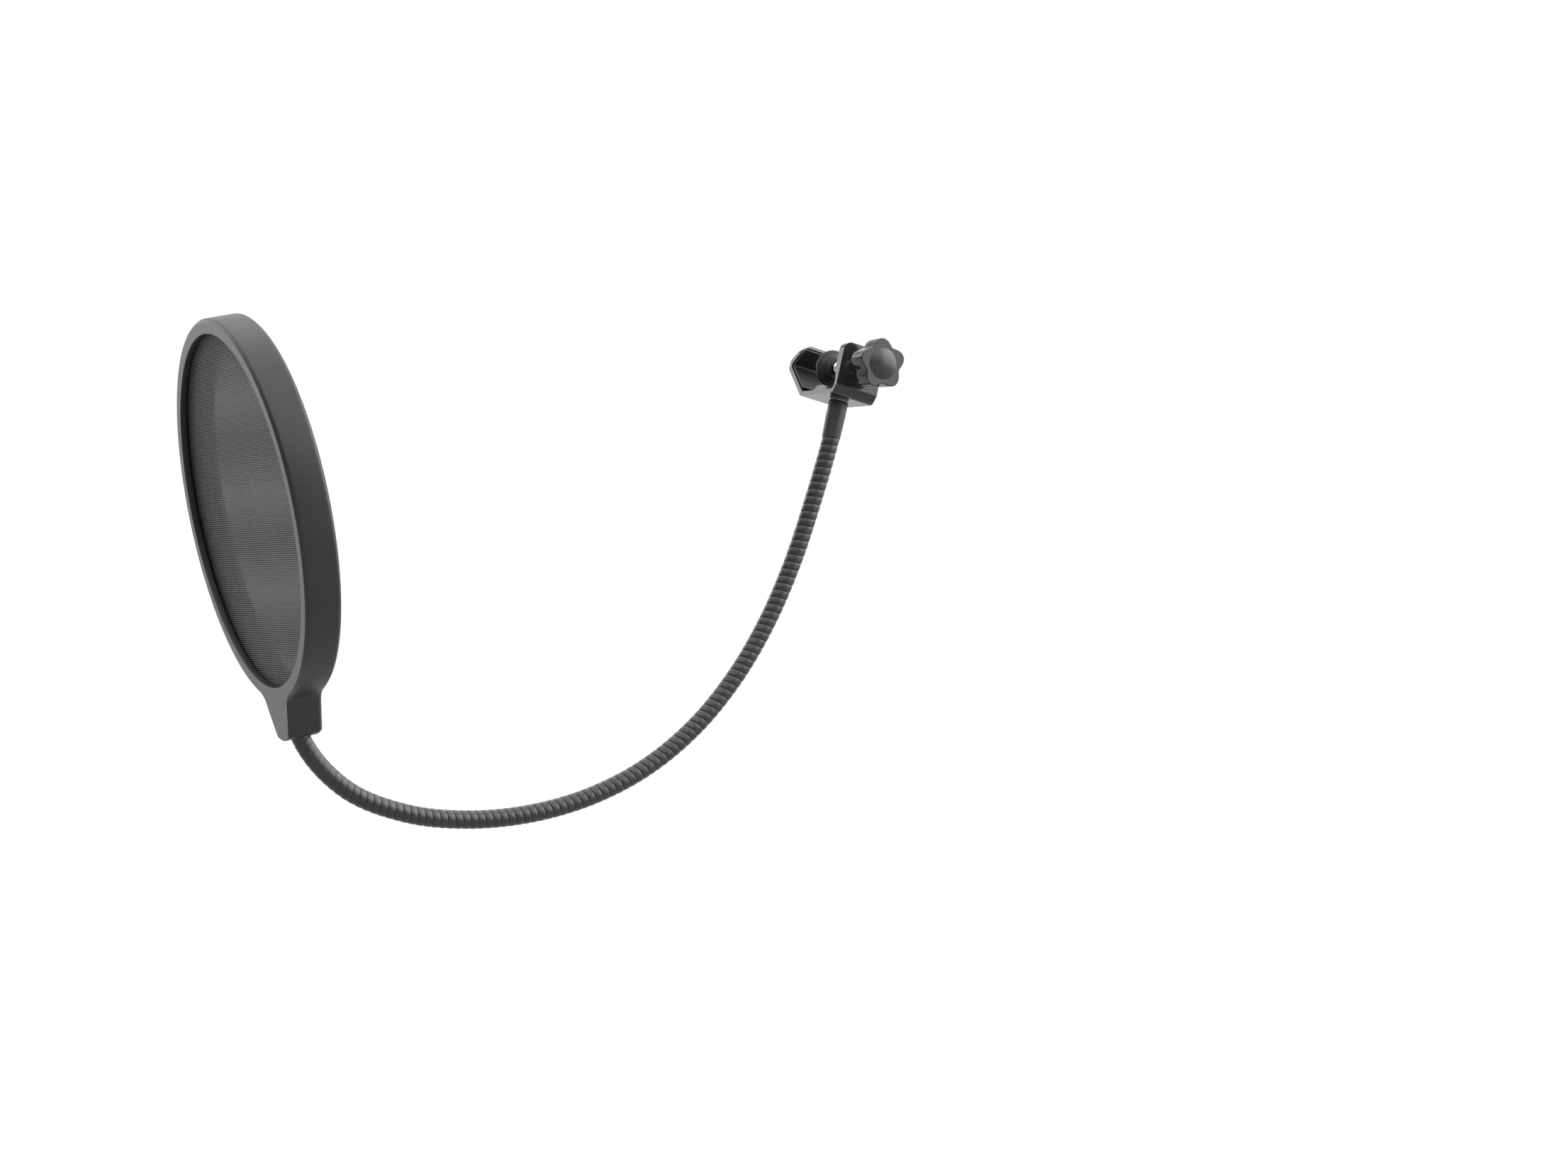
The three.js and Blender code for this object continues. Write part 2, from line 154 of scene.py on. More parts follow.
# the groove's width as a share of a rib, and the share of their depth that ribs keep at the frame
RIB_GROOVE_WIDTH = 0.06
RIB_DEPTH_AT_FRAME = 0.5
RIB_ROWS = [0, 0.03, 0.07, 0.13, 0.22, 0.34, 0.48, 0.62, 0.75, 0.86, 0.93, 0.97]
RIBS_PER_STRETCH = 8.4
RIBS_IN_FERRULE = 3
STRETCH_IN_STEM = 0.4
STRETCH_LENGTH = 27.8
NECK_POINTS = [
    (-7.7, -31.0), (-16.5, -57.5), (-26.4, -83.5), (-38.8, -108.5), (-54.2, -131.5),
    (-73.2, -151.8), (-95.8, -168.0), (-121.1, -179.2), (-148.2, -185.5), (-176.0, -187.1),
    (-203.4, -183.7), (-229.1, -173.3), (-247.6, -153.2),
]

# the frame and its screens: depths are measured from the frame's front
HEAD_PITCH = 11.47
HEAD_YAW = -5.06
FRAME_RADIUS = 76
FRAME_THICKNESS = 14.4
FRAME_BEVEL = 1.25
BEVEL_EDGE = 0.25
# the front bevel's share of its size on the stem, and the heights between which it changes
STEM_BEVEL = 0.2
STEM_BEVEL_LOW = -80
STEM_BEVEL_HIGH = -74
SEAM_FRONT = 12.1
SEAM_BACK = 12.11
OPENING_RADIUS = 70
RECESS_RADIUS = 72.6
LIP_THICKNESS = 2.6
# one side of the stem, as (across, up): on the ring, its fillet's corner and end, and by its tip
STEM_SHOULDER = (22, -72.75)
STEM_FILLET = (15.7, -74.6)
STEM_NECK = (13.4, -78.9)
STEM_TIP = (7.4, -89.9)
STEM_END = 91.3
STEM_GAP = 0.7
STEM_BORE_RADIUS = 4.05
STEM_BORE_START = 76
SCREEN_RADIUS = 72.2
FRONT_SCREEN_DEPTH = 3.1
REAR_SCREEN_DEPTH = 11.4
SPACER_DEPTH = 3.6
SPACER_THICKNESS = 7.3
SPACER_BORE = 70.4
NYLON_PITCH = 0.85
NYLON_WIDTH = 0.4
NYLON_THICKNESS = 0.2
NYLON_INSET = 0.2
# across the frame: where the threads' painted sheen starts to fade, and where it has become a full
# painted shadow of the frame's lip
PAINTED_SHEEN_START = 30
PAINTED_SHEEN_END = 70

# ---- light and camera, in metres and degrees ----

FLOOR_Z = -0.45
FLOOR_SIZE = 30
# the strength of the surround away from its soft lights
DIM = 0.32
# each soft light's direction, the cosines where it fades out and is full, and its strength
BACKDROP = ((0.15, 0.98, -0.1), 0.8, 0.9, 1.6)
WINDOW = ((0.9, -0.4, 0.17), 0.64, 0.82, 3.1)
CEILING = ((0.12, -0.1, 1), 0.28, 0.74, 2.1)
LAMP = ((-0.46, 0.8, 0.39), 0.95, 0.985, 2.6)
# the floor's brighter side: its direction, the distances where it starts and ends, and its strength
FLOOR_SHADE = ((0.49, 0.87, 0), 0.1, 1.2, 0.06)
CAMERA_PLACE = (-0.75511, -1.29891, -0.09401)
CAMERA_TURN = -29.49
CAMERA_LENS = 80
CAMERA_SENSOR = 36

# ---- the groups' axes ----

CLAMP = Matrix.Rotation(math.radians(CLAMP_TILT), 4, "Y")
HEAD_TURN = (Matrix.Rotation(math.radians(HEAD_YAW), 4, "Z")
             @ Matrix.Rotation(-math.radians(HEAD_PITCH), 4, "Y"))
NECK_END = Vector((NECK_POINTS[-1][0], STUD_Y, NECK_POINTS[-1][1]))
HEAD_CENTRE = NECK_END + HEAD_TURN @ Vector((0, 0, STEM_END + STEM_GAP))
HEAD = Matrix.Translation(HEAD_CENTRE) @ HEAD_TURN
STUD = CLAMP @ Matrix.Translation((0, STUD_Y, 0)) @ Matrix.Rotation(-math.pi / 2, 4, "X")


# ---- mesh helpers ----

SHARP_ANGLE = 32


def place_mesh(name, points, faces, material, place, sharp_angle=SHARP_ANGLE):
    """A mesh object of points in millimetres in a group's axes, smooth except at sharp edges."""
    mesh = bpy.data.meshes.new(name)
    mesh.from_pydata([tuple((place @ Vector(p)) * MM) for p in points], [], faces)
    mesh.materials.append(material)
    finish_mesh(mesh, sharp_angle)
    piece = bpy.data.objects.new(name, mesh)
    bpy.context.scene.collection.objects.link(piece)
    return piece


def finish_mesh(mesh, sharp_angle):
    """Turns faces outwards and sets smooth shading with sharp edges."""
    work = bmesh.new()
    work.from_mesh(mesh)
    bmesh.ops.remove_doubles(work, verts=work.verts, dist=1e-7)
    bmesh.ops.recalc_face_normals(work, faces=work.faces)
    work.to_mesh(mesh)
    work.free()
    mesh.shade_smooth()
    mesh.set_sharp_from_angle(angle=math.radians(sharp_angle))


def skin(name, rings, material, place, loop=False, caps=False, sharp_angle=SHARP_ANGLE):
    """Quads between rings of points. loop joins the last ring to the first; caps closes the ends."""
    count, around = len(rings), len(rings[0])
    points = [tuple(p) for ring in rings for p in ring]
    faces = []
    for i in range(count if loop else count - 1):
        a, b = i * around, ((i + 1) % count) * around
        for j in range(around):
            k = (j + 1) % around
            faces.append((a + j, a + k, b + k, b + j))
    if caps:
        for first in (0, (count - 1) * around):
            centre = np.mean(points[first:first + around], axis=0)
            points.append(tuple(centre))
            hub = len(points) - 1
            faces += [(first + j, first + (j + 1) % around, hub) for j in range(around)]
    return place_mesh(name, points, faces, material, place, sharp_angle)


def rounded(points, radius, steps=4):
    """A polygon with its corners rounded. radius is one number, or one for each corner."""
    points = [Vector((*p, 0)) for p in points]
    count = len(points)
    radii = [radius] * count if np.isscalar(radius) else radius
    result = []
    for i, corner in enumerate(points):
        if radii[i] == 0:
            result.append((corner.x, corner.y))
            continue
        back = points[i - 1] - corner
        ahead = points[(i + 1) % count] - corner
        opening = back.angle(ahead)
        reach = min(radii[i] / math.tan(opening / 2), 0.49 * back.length, 0.49 * ahead.length)
        r = reach * math.tan(opening / 2)
        back.normalize()
        ahead.normalize()
        centre = corner + (back + ahead).normalized() * (r / math.sin(opening / 2))
        start, end = corner + back * reach - centre, corner + ahead * reach - centre
        turn = math.pi - opening
        for k in range(steps + 1):
            s = k / steps
            arm = (start * math.sin((1 - s) * turn) + end * math.sin(s * turn)) / math.sin(turn)
            result.append((centre.x + arm.x, centre.y + arm.y))
    return result


def turned(name, profile, material, place, sides=72, sharp_angle=SHARP_ANGLE):
    """A solid turned about Y from (radius, y) points, which start and end on the axis or make a ring."""
    inner = [(r, y) for r, y in profile if r > 1e-6]
    angles = np.linspace(0, 2 * math.pi, sides, endpoint=False)
    rings = [[(r * math.cos(a), y, r * math.sin(a)) for a in angles] for r, y in inner]
    on_axis = profile[0][0] <= 1e-6
    return skin(name, rings, material, place, loop=not on_axis, caps=on_axis, sharp_angle=sharp_angle)


def applied(piece, modifiers_of):
    """Adds modifiers to a piece and applies them."""
    modifiers_of(piece)
    depsgraph = bpy.context.evaluated_depsgraph_get()
    mesh = bpy.data.meshes.new_from_object(piece.evaluated_get(depsgraph))
    piece.modifiers.clear()
    piece.data = mesh
    return piece


def combine(piece, tools, operation="DIFFERENCE"):
    """Cuts tools out of a piece, joins them to it, or keeps what they share, and removes them."""
    def add(target):
        for tool in tools:
            boolean = target.modifiers.new("combine", "BOOLEAN")
            boolean.object = tool
            boolean.operation = operation
            boolean.solver = "EXACT"
    applied(piece, add)
    for tool in tools:
        bpy.data.objects.remove(tool)
    return piece


def soften_edges(piece, width):
    """Rounds a piece's sharp edges."""
    def add(target):
        bevel = target.modifiers.new("soft edges", "BEVEL")
        bevel.width = width * MM
        bevel.segments = 3
        bevel.limit_method = "ANGLE"
        bevel.angle_limit = math.radians(30)
    applied(piece, add)
    finish_mesh(piece.data, SHARP_ANGLE)
    return flat_shaded_faces(piece)


def flat_shaded_faces(piece):
    """Makes the large faces look flat, and leaves the shading's turn to the narrow rounded edges."""
    def add(target):
        weighted = target.modifiers.new("weighted normals", "WEIGHTED_NORMAL")
        weighted.weight = 100
        weighted.keep_sharp = True
    return applied(piece, add)


def prism(name, near, far, material, place):
    """A solid between two outlines with the same number of points."""
    count = len(near)
    faces = [tuple(range(count)), tuple(range(count, 2 * count))]
    for i in range(count):
        j = (i + 1) % count
        faces.append((i, j, count + j, count + i))
    return place_mesh(name, near + far, faces, material, place)


def bar_along_x(name, outline, width, material, place):
    """An outline of (y, z) points extruded along X, centred on it."""
    near, far = ([(x, y, z) for y, z in outline] for x in (-width / 2, width / 2))
    return prism(name, near, far, material, place)


def bar_along_y(name, outline, start, end, place):
    """An outline of (x, z) points extruded along Y: a cutting tool."""
    near, far = ([(x, y, z) for x, z in outline] for y in (start, end))
    return prism(name, near, far, PAINT, place)


def stand_for(piece, body, slot, *nodes):
    """A piece that rides on a body and takes the place of CAD nodes."""
    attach(piece, body)
    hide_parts(*nodes)
    return piece


# ---- materials ----

def shader(name):
    """A new material's node tree and its Principled shader."""
    material = bpy.data.materials.new(name)
    material.use_nodes = True
    tree = material.node_tree
    return material, tree, tree.nodes["Principled BSDF"]


def noise(tree, scale, detail=3):
    """A noise texture in object coordinates, with scale in cycles per metre."""
    place = tree.nodes.new("ShaderNodeTexCoord")
    texture = tree.nodes.new("ShaderNodeTexNoise")
    texture.inputs["Scale"].default_value = scale
    texture.inputs["Detail"].default_value = detail
    texture.inputs["Roughness"].default_value = 0.55
    tree.links.new(place.outputs["Object"], texture.inputs["Vector"])
    return texture.outputs["Fac"]


def ramp(tree, factor, low, high, start=0.35, end=0.65):
    """Colours or grays between two values of a factor."""
    node = tree.nodes.new("ShaderNodeValToRGB")
    ends = node.color_ramp.elements
    ends[0].position, ends[1].position = start, end
    ends[0].color = (*low, 1) if hasattr(low, "__len__") else (low, low, low, 1)
    ends[1].color = (*high, 1) if hasattr(high, "__len__") else (high, high, high, 1)
    tree.links.new(factor, node.inputs["Fac"])
    return node.outputs["Color"]


def bump(tree, height, distance, after=None):
    """A bump of a height in millimetres, on top of another bump."""
    node = tree.nodes.new("ShaderNodeBump")
    node.inputs["Strength"].default_value = 1
    node.inputs["Distance"].default_value = distance * MM
    tree.links.new(height, node.inputs["Height"])
    if after:
        tree.links.new(after, node.inputs["Normal"])
    return node.outputs["Normal"]


def moulded(name, colour, roughness, grain, grain_height, specular=0.5, unevenness=0.04):
    """Black moulded plastic, paint or rubber with a fine grain."""
    material, tree, surface = shader(name)
    light = tuple(1.15 * c for c in colour)
    tree.links.new(ramp(tree, noise(tree, 60), colour, light), surface.inputs["Base Color"])
    gloss = ramp(tree, noise(tree, 350, 4), roughness - unevenness, roughness + unevenness)
    tree.links.new(gloss, surface.inputs["Roughness"])
    surface.inputs["Specular IOR Level"].default_value = specular
    coarse = bump(tree, noise(tree, grain, 2), grain_height)
    fine = bump(tree, noise(tree, 4 * grain, 2), grain_height / 4, after=coarse)
    tree.links.new(fine, surface.inputs["Normal"])
    return material


def metal(name, colour, roughness):
    """Plated steel with a slightly uneven gloss."""
    material, tree, surface = shader(name)
    surface.inputs["Metallic"].default_value = 1
    dark = tuple(0.8 * c for c in colour)
    tree.links.new(ramp(tree, noise(tree, 300, 4), dark, colour), surface.inputs["Base Color"])
    gloss = ramp(tree, noise(tree, 900, 4), roughness - 0.06, roughness + 0.08)
    tree.links.new(gloss, surface.inputs["Roughness"])
    tree.links.new(bump(tree, noise(tree, 2500, 2), 0.01), surface.inputs["Normal"])
    return material


def nylon_film():
    """The see-through body of the stretched nylon between its threads."""
    material, _, surface = shader("nylon film")
    surface.inputs["Base Color"].default_value = (0.02, 0.0193, 0.0196, 1)
    surface.inputs["Roughness"].default_value = 0.6
    surface.inputs["Specular IOR Level"].default_value = 0.15
    surface.inputs["Alpha"].default_value = 0.72
    return material


def nylon_threads():
    """The threads, coloured with painted light: a pale painted sheen in the middle, fading to a painted
    shadow of the frame's lip towards its far side.
    """
    material, tree, surface = shader("nylon threads")
    place = tree.nodes.new("ShaderNodeTexCoord").outputs["Object"]
    across = HEAD_TURN.to_3x3() @ Vector((0, 1, 0))
    along = tree.nodes.new("ShaderNodeVectorMath")
    along.operation = "DOT_PRODUCT"
    along.inputs[1].default_value = across
    tree.links.new(place, along.inputs[0])
    fade = tree.nodes.new("ShaderNodeMapRange")
    centre = across.dot(HEAD_CENTRE)
    fade.inputs["From Min"].default_value = (centre + PAINTED_SHEEN_END) * MM
    fade.inputs["From Max"].default_value = (centre + PAINTED_SHEEN_START) * MM
    tree.links.new(along.outputs["Value"], fade.inputs["Value"])
    # the threads' colours are painted light: dark for the painted shadow of the lip, pale for the
    # painted sheen
    dark, painted_sheen = (0.007, 0.0067, 0.0068), (0.085, 0.082, 0.0835)
    painted_sheen_and_shadow = ramp(tree, fade.outputs["Result"], dark, painted_sheen, 0, 1)
    tree.links.new(painted_sheen_and_shadow, surface.inputs["Base Color"])
    surface.inputs["Roughness"].default_value = 0.55
    surface.inputs["Specular IOR Level"].default_value = 0.3
    tree.links.new(bump(tree, noise(tree, 3000, 2), 0.01), surface.inputs["Normal"])
    return material


PAINT = moulded("black paint", (0.018, 0.0173, 0.0176), 0.15, 900, 0.0015, unevenness=0.015)
SATIN_PAINT = moulded("satin paint", (0.024, 0.0232, 0.0236), 0.38, 1500, 0.004, specular=0.42,
                      unevenness=0.03)
FRAME_PLASTIC = moulded("frame plastic", (0.012, 0.0116, 0.0118), 0.42, 1300, 0.05, specular=0.42,
                        unevenness=0.012)
SMOOTH_PLASTIC = moulded("smooth plastic", (0.02, 0.0193, 0.0196), 0.4, 2500, 0.0005, specular=0.75,
                         unevenness=0.008)
KNOB_PLASTIC = moulded("knob plastic", (0.018, 0.0173, 0.0176), 0.17, 1800, 0.003, specular=0.4,
                       unevenness=0.02)
CAP_PLASTIC = moulded("knob cap plastic", (0.018, 0.0173, 0.0176), 0.34, 1800, 0.004, unevenness=0.02)
FOOT_PLASTIC = moulded("foot plastic", (0.01, 0.0096, 0.0098), 0.42, 1800, 0.01, specular=0.35)
RUBBER = moulded("rubber", (0.008, 0.0077, 0.0078), 0.5, 2500, 0.01)
SLEEVE = moulded("gooseneck sleeve", (0.013, 0.0125, 0.0127), 0.32, 2200, 0.008, unevenness=0.02)
FILM = nylon_film()
THREADS = nylon_threads()
STEEL = metal("plated steel", (0.66, 0.66, 0.67), 0.2)
SPRING_STEEL = metal("spring steel", (0.42, 0.42, 0.43), 0.35)


# ---- clamp ----

JAW_RUN = 1 / math.tan(math.radians(JAW_SLOPE))


def jaw_line(inset):
    """The V jaw at a distance inside its outer surface: its back, its line, and where they meet."""
    rise = inset / math.cos(math.radians(JAW_SLOPE))
    back = JAW_BACK - inset
    flat_end = WEB_UNDERSIDE + rise + (back - JAW_START) / JAW_RUN

    def y_at(z):
        return JAW_START + (z - WEB_UNDERSIDE - rise) * JAW_RUN
    return back, y_at, flat_end


def bracket_outline():
    """The bent steel's section, with its bend radii."""
    back, _, flat = jaw_line(0)
    inner_back, inner_y, inner_flat = jaw_line(JAW_WALL)
    web_top = WEB_UNDERSIDE + WEB_WALL
    rib_top = web_top + WEB_RIB_HEIGHT
    flange_inside = NEAR_FACE + WEB_WALL
    boss_inside = NEAR_FACE + SCREW_BOSS_THICKNESS
    slope = math.radians(JAW_SLOPE)
    tip = (inner_y(-JAW_TIP), JAW_TIP)
    outer_tip = (tip[0] + JAW_WALL * math.sin(slope), JAW_TIP + JAW_WALL * math.cos(slope))
    corners = [
        ((NEAR_FACE, BEND_TOP), 1.5), ((BEND_Y, WEB_UNDERSIDE), 2.8),
        ((JAW_START, WEB_UNDERSIDE), 1.2),
        ((back, flat), 1.2), ((back, -flat), 1.2), (outer_tip, 0.3), (tip, 0.3),
        ((inner_back, -inner_flat), 0.5), ((inner_back, inner_flat), 0.5),
        ((inner_y(web_top), web_top), 0.8),
        ((STUD_Y + WEB_RIB_FOOT, web_top), 1), ((STUD_Y + WEB_RIB_CREST, rib_top), 1),
        ((STUD_Y - WEB_RIB_CREST, rib_top), 1), ((STUD_Y - WEB_RIB_FOOT, web_top), 1),
        ((flange_inside + 1.5, web_top), 0.6), ((flange_inside, web_top + 1.5), 0.6),
        ((flange_inside, SCREW_BOSS_START), 1), ((boss_inside, SCREW_BOSS_FULL), 1),
        ((boss_inside, FLANGE_TOP), 0.3), ((NEAR_FACE, FLANGE_TOP), 0.3),
    ]
    return rounded([c[0] for c in corners], [c[1] for c in corners])


def round_topped(top, radius):
    """An outline of (x, z) points, a hair wider than the bracket, with two round top corners."""
    half = BRACKET_WIDTH / 2 + 0.002
    corners = [(-half, WEB_UNDERSIDE - 1), (half, WEB_UNDERSIDE - 1), (half, top), (-half, top)]
    return rounded(corners, [0, 0, radius, radius], steps=8)


def circle(radius, sides=64):
    """Points of a circle."""
    angles = np.linspace(0, 2 * math.pi, sides, endpoint=False)
    return [(radius * math.cos(a), radius * math.sin(a)) for a in angles]


def clamp_bracket():
    """The pressed steel bracket with its screw hole and stud hole."""
    piece = bar_along_x("bracket", bracket_outline(), BRACKET_WIDTH, PAINT, CLAMP)
    jaw_top = JAW_TIP + JAW_WALL * math.cos(math.radians(JAW_SLOPE))
    start, middle, end = NEAR_FACE - 1, BRACKET_MIDDLE, JAW_BACK + 1
    near = bar_along_y("near end", round_topped(FLANGE_TOP, FLANGE_CORNER), start, middle, CLAMP)
    far = bar_along_y("far end", round_topped(jaw_top, JAW_CORNER), middle, end, CLAMP)
    combine(near, [far], "UNION")
    combine(piece, [near], "INTERSECT")
    boss_end = NEAR_FACE + SCREW_BOSS_THICKNESS + 1
    screw_hole = bar_along_y("screw hole", circle(SCREW_HOLE_RADIUS), start, boss_end, CLAMP)
    web = -WEB_UNDERSIDE
    stud_hole = bar_along_y("stud hole", circle(STUD_HOLE_RADIUS), web - 6, web + 6, STUD)
    combine(piece, [screw_hole, stud_hole])
    soften_edges(piece, SHEET_EDGE)
    return stand_for(piece, "clamp", "black_paint", "clamp_bracket")


def jaw_liner():
    """The rubber strip bent into the V jaw."""
    back, _, flat_back = jaw_line(JAW_WALL + GAP)
    face, y_face, flat_face = jaw_line(JAW_WALL + GAP + LINER_THICKNESS)
    low, high = LINER_LOW, LINER_HIGH
    slope = math.radians(JAW_SLOPE)
    tuck, drop = LINER_THICKNESS * math.sin(slope), LINER_THICKNESS * math.cos(slope)
    outline = [
        (y_face(low) + tuck, low - drop), (back, flat_back), (back, -flat_back),
        (y_face(-high) + tuck, high + drop), (y_face(-high), high),
        (face, -flat_face), (face, flat_face), (y_face(low), low),
    ]
    radii = [0.2, 0.8, 0.8, 0.2, 0.2, 0.4, 0.4, 0.2]
    piece = bar_along_x("liner", rounded(outline, radii), BRACKET_WIDTH - 1, RUBBER, CLAMP)
    soften_edges(piece, LINER_EDGE)
    return stand_for(piece, "clamp", "black_rubber", "jaw_liner")


def threaded_rod(name, start, end, place, pitch=THREAD_PITCH, radius=SCREW_RADIUS, sides=32):
    """A rod along Y with a real thread, which fades out at both ends. Its rows of points climb with
    the thread, so the last point of a row is the first point of the same row one turn further."""
    core = radius - THREAD_DEPTH
    rows = len(THREAD_ROWS)
    count = rows * (math.ceil((end - start) / pitch) + 2)
    points, faces = [], []
    for k in range(count):
        phase, height = THREAD_ROWS[k % rows]
        for j in range(sides + 1):
            angle = 2 * math.pi * j / sides
            y = start + pitch * (k // rows - 1 + phase + j / sides)
            y = min(max(y, start), end)
            fade = min(1, (y - start) / pitch, (end - y) / pitch)
            r = core + THREAD_DEPTH * height * fade
            points.append((r * math.cos(angle), y, -r * math.sin(angle)))
    for k in range(count - 1):
        for j in range(sides):
            a, b = k * (sides + 1) + j, (k + 1) * (sides + 1) + j
            faces.append((a, a + 1, b + 1, b))
    for y, first in ((start, 0), (end, (count - 1) * (sides + 1))):
        points.append((0, y, 0))
        faces += [(first + j, first + j + 1, len(points) - 1) for j in range(sides)]
    return place_mesh(name, points, faces, STEEL, place, sharp_angle=25)


def base_stud():
    """The gooseneck's stud: its threaded top stands just above the bracket's rib."""
    piece = threaded_rod("stud", STUD_TOP, STUD_END, STUD, pitch=STUD_PITCH, radius=STUD_RADIUS)
    return stand_for(piece, "clamp", "bright_steel", "base_stud")


def base_washer():
    """The bright washer under the bracket."""
    corners = [(WASHER_BORE, WASHER_TOP), (WASHER_RADIUS, WASHER_TOP),
               (WASHER_RADIUS, WASHER_BOTTOM), (WASHER_BORE, WASHER_BOTTOM)]
    piece = turned("washer", rounded(corners, 0.1, 3), STEEL, STUD)
    return stand_for(piece, "clamp", "bright_steel", "base_washer")


def base_ferrule():
    """The black ferrule at the clamp's end of the gooseneck."""
    corners = [
        (FERRULE_STUD_BORE, FERRULE_TOP), (FERRULE_TOP_RADIUS, FERRULE_TOP),
        (FERRULE_TOP_RADIUS, FERRULE_TAPER_START), (FERRULE_BOTTOM_RADIUS + 0.12, FERRULE_BOTTOM - 0.5),
        (FERRULE_BOTTOM_RADIUS - 0.1, FERRULE_BOTTOM), (FERRULE_SLEEVE_BORE, FERRULE_BOTTOM),
        (FERRULE_SLEEVE_BORE, FERRULE_STEP), (FERRULE_STUD_BORE, FERRULE_STEP),
    ]
    radii = [0.3, 0.4, 3, 0.4, 0.2, 0.2, 0.1, 0.1]
    piece = turned("ferrule", rounded(corners, radii, 5), SATIN_PAINT, STUD)
    return stand_for(piece, "base", "black_paint", "base_ferrule")


# ---- pressure foot, screw and knob ----

def foot_pad():
    """The rubber face of the pressure foot."""
    r = FOOT_RADIUS - 0.3
    back = FOOT_FACE - PAD_THICKNESS
    corners = [(0, back), (r, back), (r, FOOT_FACE), (0, FOOT_FACE)]
    piece = turned("foot_face", rounded(corners, [0, 0.1, 0.2, 0], 3), RUBBER, CLAMP)
    return stand_for(piece, "foot", "black_rubber", "foot_pad")


def pressure_foot():
    """The stepped foot with its socket for the screw's tip."""
    face = FOOT_FACE - PAD_THICKNESS - GAP
    floor = face - FOOT_FLOOR
    socket = NECK_SHANK_RADIUS + GAP
    corners = [(0, floor), (socket, floor), (socket, FOOT_BACK), *FOOT_STEPS,
               (FOOT_RADIUS, face), (0, face)]
    radii = [0, 0.1, 0.3, 0.5, 0.3, 0.3, 0.3, 0.35, 0.3, 0]
    piece = turned("foot", rounded(corners, radii), FOOT_PLASTIC, CLAMP)
    return stand_for(piece, "foot", "black_plastic", "pressure_foot")


def clamp_screw():
    """The M6 screw: a bright turned neck at its tip, and a threaded shank."""
    tip = FOOT_FACE - PAD_THICKNESS - GAP - FOOT_FLOOR - GAP
    root = SCREW_SHOULDER - 1
    corners = [(0, root), (NECK_SHANK_RADIUS, root), (NECK_SHANK_RADIUS, tip), (0, tip)]
    neck = turned("screw_neck", rounded(corners, [0, 0, 0.5, 0]), STEEL, CLAMP)
    stand_for(neck, "screw", "bright_steel", "clamp_screw")
    shank = threaded_rod("screw_shank", SCREW_END, SCREW_SHOULDER, CLAMP)
    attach(shank, "screw")


def star(angle, inset):
    """A point of the knob's five-lobed outline, drawn in by a distance."""
    def edge(a):
        lobe = (1 + math.cos(KNOB_LOBES * (a - math.radians(KNOB_FIRST_LOBE)))) / 2
        r = KNOB_VALLEY_RADIUS + KNOB_LOBE_HEIGHT * lobe ** 0.8
        return Vector((r * math.cos(a), r * math.sin(a)))
    along = (edge(angle + 0.01) - edge(angle - 0.01)).normalized()
    return edge(angle) - inset * Vector((along.y, -along.x))


def clamp_knob():
    """The star knob, hollow behind its cap."""
    face = KNOB_BACK - KNOB_THICKNESS
    floor = face + KNOB_POCKET_DEPTH
    angles = np.linspace(0, 2 * math.pi, 240, endpoint=False)
    rims = []
    for k in range(6):
        a = k / 5 * math.pi / 2
        rims.append((KNOB_EDGE * (1 - math.sin(a)), KNOB_EDGE * (1 - math.cos(a))))
    sections = [("star", inset, KNOB_BACK - depth) for inset, depth in rims]
    sections += [("star", inset, face + depth) for inset, depth in reversed(rims)]
    sections += [
        ("star", KNOB_EDGE + 0.1, face), ("round", KNOB_POCKET_RADIUS + 0.8, face),
        ("round", KNOB_POCKET_RADIUS + 0.6, face), ("round", KNOB_POCKET_RADIUS, face + 0.3),
        ("round", KNOB_POCKET_RADIUS, floor), ("round", SCREW_HOLE_RADIUS, floor),
        ("round", SCREW_HOLE_RADIUS, KNOB_BACK),
    ]
    rings = []
    for kind, size, y in sections:
        if kind == "star":
            ring = [(p.x, y, p.y) for p in (star(a, size) for a in angles)]
        else:
            ring = [(size * math.cos(a), y, size * math.sin(a)) for a in angles]
        rings.append(ring)
    piece = skin("knob", rings, KNOB_PLASTIC, CLAMP, loop=True)
    return stand_for(piece, "screw", "black_plastic", "clamp_knob")


def knob_cap():
    """The shallow dome pressed into the knob's face."""
    base = KNOB_BACK - KNOB_THICKNESS - 0.02
    top = base - CAP_HEIGHT
    sphere = (CAP_RADIUS ** 2 + CAP_HEIGHT ** 2) / (2 * CAP_HEIGHT)
    edge = math.asin(CAP_RADIUS / sphere)
    profile = [(0, top)]
    for k in range(1, 15):
        a = k / 14 * edge
        profile.append((sphere * math.sin(a), top + sphere * (1 - math.cos(a))))
    plug_end = base + CAP_PLUG_DEPTH
    profile += [(CAP_PLUG_RADIUS, base), (CAP_PLUG_RADIUS, plug_end), (0, plug_end)]
    piece = turned("knob_dome", profile, CAP_PLASTIC, CLAMP, sides=96, sharp_angle=40)
    return stand_for(piece, "screw", "black_plastic", "knob_cap")


# ---- gooseneck ----

def route_guides():
    """The bending points, with a point before and after them for the end directions."""
    points = [np.array((x, STUD_Y, z)) for x, z in NECK_POINTS]
    tilt, lean = math.radians(CLAMP_TILT), math.radians(HEAD_PITCH)
    before = points[0] + STRETCH_LENGTH * np.array((math.sin(tilt), 0, math.cos(tilt)))
    after = points[-1] + STRETCH_LENGTH * np.array((-math.sin(lean), 0, math.cos(lean)))
    return [2 * before - points[0], before, *points, after, 2 * after - points[-1]]


GUIDES = route_guides()
LAST_JOINT = len(NECK_POINTS) - 1


